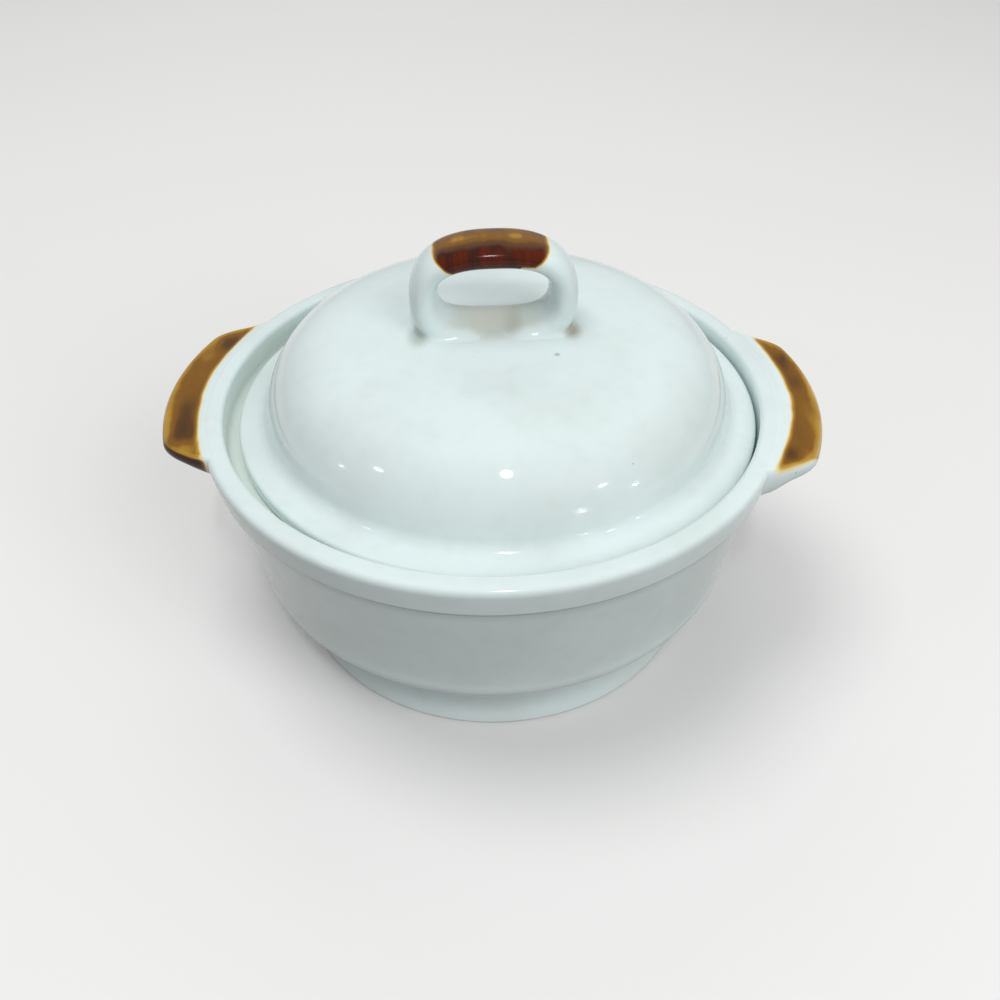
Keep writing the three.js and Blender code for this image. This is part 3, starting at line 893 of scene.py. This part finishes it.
def loop_glaze(glaze):
    """White glaze with an amber crown: olive gold on top, a dark band and red-brown runs down the front."""
    draft = MaterialDraft("Loop white and amber glaze", specular=0.18)
    place, radius, x, y, z = draft.own_place()

    # How far a point lies inside the amber, in millimetres
    slant = draft.product(z, AMBER_SLANT)
    from_left = draft.total(x, slant, -AMBER_LEFT)
    from_right = draft.math("SUBTRACT", slant, x, AMBER_RIGHT)
    inside = draft.product(draft.math("MINIMUM", from_left, from_right), 1 / math.hypot(1.0, AMBER_SLANT))
    lifted = draft.total(draft.math("SUBTRACT", z, AMBER_FOOT), draft.ease(x, 3.0, 5.0, 4.0, 0.0))
    inside = draft.total(draft.math("MINIMUM", inside, lifted), draft.wander(place, 170.0, -0.12, 0.12))

    # Gold on top, darker to the front, to the back, to the right and towards the ends
    frontward = draft.product(y, -1.0)
    depth = draft.total(
        draft.ease(frontward, -0.2, 5.7, 0.41, 0.98),
        draft.ease(frontward, 0.8, -3.4, 0.0, 0.2),
        draft.wander(draft.stretched(place, 1.0, 0.4, 0.4), 190.0, -0.12, 0.12, 3.0),
        draft.ease(x, 4.0, 11.0, 0.0, 0.07),
        draft.ease(inside, 4.0, 0.6, 0.0, 0.16),
    )
    for px, thinning in GOLD_PATCHES:
        apart = draft.apart(place, in_metres(px, -2.2, 42.8))
        depth = draft.total(depth, draft.ease(apart, 6.5 * MM, 0.0, 0.0, thinning))
    thickness = draft.product(depth, draft.ease(inside, -0.2, 1.4))
    shades = {"thick": glaze.plum_brown, "pooled": glaze.pooled_red}
    amber, covered = amber_break(draft, glaze, thickness=thickness, **shades)

    # Red-brown runs down the front, uneven at their upper ends
    streaks = draft.noise(draft.stretched(place, 1.0, 0.14, 0.14), 620.0, 3.0)
    red = draft.blend(draft.ease(streaks, 0.28, 0.74), glaze.pooled_red, glaze.red_brown)
    uneven = draft.total(frontward, draft.ease(streaks, *NOISE_SPAN, -1.0, 1.0))
    runs = draft.product(draft.ease(uneven, 3.7, 6.2), draft.ease(thickness, 0.35, 0.7))
    amber = draft.blend(runs, amber, red)

    # Thin glaze and painted shade from the crown on the feet, and the painted contact shadow and the shaded
    # stain where they meet the lid
    foot = draft.product(
        draft.ease(z, 27.0, 24.2),
        draft.ease(radius, 15.5, 12.0),
        draft.ease(draft.math("ABSOLUTE", y), 6.4, 3.6, 0.0, 0.7),
    )
    white = draft.blend(foot, white_glaze(draft, glaze, place=place), glaze.thin_white)
    white = corner_stains(draft, glaze, place=place, base=white)
    base = draft.blend(covered, white, amber)
    return draft.glazed(base, place, waves=110.0, height=0.1, scale=160.0, smooth=0.06, rough=0.12)


# Stage


FLOOR_HALF = 3.0  # metres
SENSOR_WIDTH = 36.0  # millimetres
NEAREST = 0.01  # metres from the camera at which the view starts
MIDDLE = (0.0, 0.0, 0.06)  # the point that the lamps look at

# Large lamps, which don't show in the glaze: name, place and width in metres
LAMPS = (
    ("overhead lamp", (-0.3, 0.02, 1.22), 0.65),
    ("front lamp", (0.62, -0.66, 0.72), 0.7),
    ("back lamp", (-0.15, 0.82, 0.7), 0.7),
)
# Small lamps, which show as bright dots: direction round from +X and height in degrees, width and height in
# metres, and watts
SPARKS = (
    (-163, 13, 0.05, 0.05, 0.12),
    (-148, 30, 0.06, 0.06, 0.28),
    (-82, 57, 0.06, 0.22, 2.0),
    (-38, 20, 0.06, 0.06, 0.3),
    (-51, 3, 0.09, 0.09, 0.25),
    (-25, 7, 0.04, 0.04, 0.2),
)
SPARK_DISTANCE = 1.3


def floor_material(stage):
    """Pale floor for the camera and in reflections, darker for the light that it throws on the pieces."""
    draft = MaterialDraft("Pale floor", specular=0.2)
    path = draft.add("ShaderNodeLightPath").outputs
    seen = draft.math("MAXIMUM", path["Is Camera Ray"], path["Is Glossy Ray"], path["Is Transmission Ray"])
    dim = [c * stage.floor_bounce for c in stage.floor]
    draft.feed(draft.shader.inputs["Base Color"], draft.blend(seen, dim, stage.floor))
    draft.shader.inputs["Roughness"].default_value = 0.7
    return draft.material


def add_floor(stage):
    """A level floor at the height of the table."""
    mesh = bpy.data.meshes.new("floor")
    corners = [(FLOOR_HALF * x, FLOOR_HALF * y, 0.0) for x, y in ((-1, -1), (1, -1), (1, 1), (-1, 1))]
    mesh.from_pydata(corners, [], [(0, 1, 2, 3)])
    mesh.materials.append(floor_material(stage))
    floor = bpy.data.objects.new("floor", mesh)
    bpy.context.scene.collection.objects.link(floor)


def set_sky(stage):
    """Even white light from all round."""
    world = bpy.data.worlds.new("Studio")
    world.use_nodes = True
    sky = world.node_tree.nodes["Background"].inputs
    sky["Color"].default_value = (1.0, 1.0, 1.0, 1.0)
    sky["Strength"].default_value = stage.sky
    bpy.context.scene.world = world


def looking(place, target):
    """Where a lamp or camera at place stands when it looks at target."""
    aim = (Vector(target) - Vector(place)).to_track_quat("-Z", "Y")
    return Matrix.Translation(place) @ aim.to_matrix().to_4x4()


def add_lamp(name, place, width, height, power):
    """A round or oval lamp that looks at the middle."""
    lamp = bpy.data.lights.new(name, "AREA")
    lamp.shape = "ELLIPSE"
    lamp.size = width
    lamp.size_y = height
    lamp.energy = power
    holder = bpy.data.objects.new(name, lamp)
    bpy.context.scene.collection.objects.link(holder)
    holder.matrix_world = looking(place, MIDDLE)
    return holder


def spark_place(turn, rise):
    """Place of a small lamp as seen from the lid."""
    turn, rise = math.radians(turn), math.radians(rise)
    level = SPARK_DISTANCE * math.cos(rise)
    return (level * math.cos(turn), level * math.sin(turn), lid_high.z + SPARK_DISTANCE * math.sin(rise))


def add_lamps(stage):
    """The large lamps and the small ones."""
    powers = (stage.overhead_power, stage.front_power, stage.back_power)
    for (name, place, size), power in zip(LAMPS, powers):
        add_lamp(name, place, size, size, power).visible_glossy = False
    for i, (turn, rise, width, height, power) in enumerate(SPARKS):
        add_lamp(f"spark lamp {i + 1}", spark_place(turn, rise), width, height, power * stage.spark_share)


def add_camera(stage):
    """The camera of the photo."""
    camera = bpy.data.cameras.new("camera")
    camera.sensor_width = SENSOR_WIDTH
    camera.lens = stage.lens
    camera.clip_start = NEAREST
    holder = bpy.data.objects.new("camera", camera)
    bpy.context.scene.collection.objects.link(holder)
    roll = Matrix.Rotation(stage.camera_roll, 4, "Z")
    holder.matrix_world = looking(stage.camera_place, stage.camera_target) @ roll
    bpy.context.scene.camera = holder


# Operators


class LIDDED_BOWL_OT_add_bowl(bpy.types.Operator):
    """Turns the bowl with its rim band, lid seat and foot ring"""

    bl_idname = "lidded_bowl.add_bowl"
    bl_label = "Add bowl"

    def execute(self, context):
        settings = context.scene.lidded_bowl
        piece = turned_object("bowl_body", bowl_profile(settings.bowl))
        dress(piece, bowl_glaze(settings.glaze, settings.bowl), "bowl", "white_glaze", "bowl")
        return {"FINISHED"}


class LIDDED_BOWL_OT_add_lugs(bpy.types.Operator):
    """Lutes the two curved lugs to the rim"""

    bl_idname = "lidded_bowl.add_lugs"
    bl_label = "Add lugs"

    def execute(self, context):
        settings = context.scene.lidded_bowl
        lug = settings.lug
        for name, side, root, look in (
            ("left_lug", -1, (lug.left_thickness, lug.left_root_fillet), LEFT_LOOK),
            ("right_lug", 1, (lug.thickness, lug.root_fillet), RIGHT_LOOK),
        ):
            piece = lug_object(name, settings.bowl, lug, side, *root)
            material = lug_glaze(f"{label(name)} amber glaze", settings.glaze, settings.bowl, look)
            dress(piece, material, "bowl", "amber_glaze", f"{name}_handle")
        return {"FINISHED"}


class LIDDED_BOWL_OT_add_lid(bpy.types.Operator):
    """Turns the domed lid and lays it in its seat"""

    bl_idname = "lidded_bowl.add_lid"
    bl_label = "Add lid"

    def execute(self, context):
        settings = context.scene.lidded_bowl
        piece = turned_object("lid_dome", lid_profile(settings.lid))
        seat_on_ledge(piece, settings.lid)
        dress(piece, lid_glaze(settings.glaze, settings.loop), "lid", "white_glaze", "lid")
        return {"FINISHED"}


class LIDDED_BOWL_OT_add_loop(bpy.types.Operator):
    """Bends the strap loop and lutes it to the lid"""

    bl_idname = "lidded_bowl.add_loop"
    bl_label = "Add loop"

    def execute(self, context):
        settings = context.scene.lidded_bowl
        rows = loop_rows(settings.lid, settings.loop)
        piece = skinned_object("lid_loop", rows)
        seat_on_ledge(piece, settings.lid)
        dress(piece, loop_glaze(settings.glaze), "lid", "white_glaze", "lid_loop_handle")
        return {"FINISHED"}


class LIDDED_BOWL_OT_set_stage(bpy.types.Operator):
    """Sets the floor, the light and the camera"""

    bl_idname = "lidded_bowl.set_stage"
    bl_label = "Set stage"

    def execute(self, context):
        stage = context.scene.lidded_bowl.stage
        add_floor(stage)
        set_sky(stage)
        add_lamps(stage)
        add_camera(stage)
        context.scene.view_settings.view_transform = "Standard"
        return {"FINISHED"}


class LIDDED_BOWL_PT_sidebar(bpy.types.Panel):
    """Lists the pieces of the lidded bowl and their settings"""

    bl_idname = "LIDDED_BOWL_PT_sidebar"
    bl_label = "Lidded bowl"
    bl_space_type = "VIEW_3D"
    bl_region_type = "UI"
    bl_category = "Lidded bowl"

    def draw(self, context):
        settings = context.scene.lidded_bowl
        groups = (settings.bowl, settings.lug, settings.lid, settings.loop, settings.stage)
        for operator, group in zip(OPERATORS, groups):
            box = self.layout.box()
            box.operator(operator.bl_idname)
            for name in group.__annotations__:
                box.prop(group, name)
        box = self.layout.box()
        for name in settings.glaze.__annotations__:
            box.prop(settings.glaze, name)


OPERATORS = (
    LIDDED_BOWL_OT_add_bowl,
    LIDDED_BOWL_OT_add_lugs,
    LIDDED_BOWL_OT_add_lid,
    LIDDED_BOWL_OT_add_loop,
    LIDDED_BOWL_OT_set_stage,
)
GROUPS = (BowlSizes, LugSizes, LidSizes, LoopSizes, GlazeColours, StageSettings, LiddedBowl)
CLASSES = (*GROUPS, *OPERATORS, LIDDED_BOWL_PT_sidebar)


def register():
    for item in CLASSES:
        bpy.utils.register_class(item)
    bpy.types.Scene.lidded_bowl = PointerProperty(type=LiddedBowl)


def unregister():
    del bpy.types.Scene.lidded_bowl
    for item in reversed(CLASSES):
        bpy.utils.unregister_class(item)


def main():
    register()
    bpy.ops.lidded_bowl.add_bowl()
    bpy.ops.lidded_bowl.add_lugs()
    bpy.ops.lidded_bowl.add_lid()
    bpy.ops.lidded_bowl.add_loop()
    bpy.ops.lidded_bowl.set_stage()


if __name__ == "__main__":
    main()
